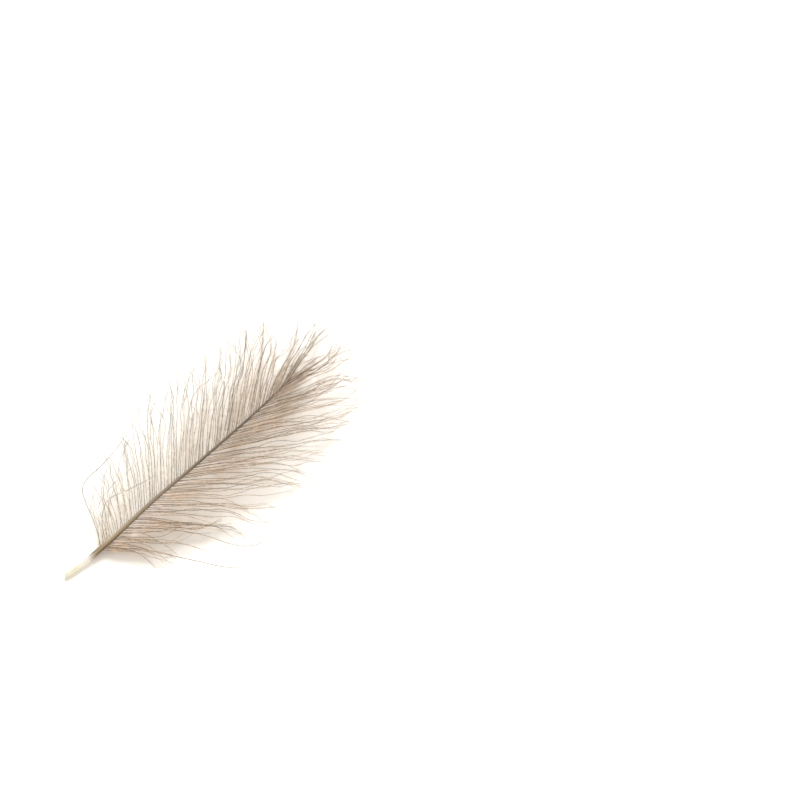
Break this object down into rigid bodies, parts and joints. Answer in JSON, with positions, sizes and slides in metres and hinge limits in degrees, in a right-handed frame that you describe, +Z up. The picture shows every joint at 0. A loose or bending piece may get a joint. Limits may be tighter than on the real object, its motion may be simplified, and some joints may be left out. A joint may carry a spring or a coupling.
{
  "type": "cul de canard feather",
  "caption": "Small soft duck preen-gland feather with a thin bare quill and open, wispy barbs on both sides, lying on a surface.",
  "frame": {"origin": "on the surface that the feather lies on, at the middle of the flat where the bare end of the quill rests", "axes": "+X from the bare end of the quill towards the feather's tip, +Y to the left side of the vane, +Z up from the surface"},
  "size_m": [0.0567, 0.03, 0.0034],
  "materials": {
    "feather": "soft, matte, greyish-brown barbs on a thin horn quill that is pale yellow at its bare end"
  },
  "bodies": {
    "root": {"feather": "feather"}
  },
  "joints": []
}
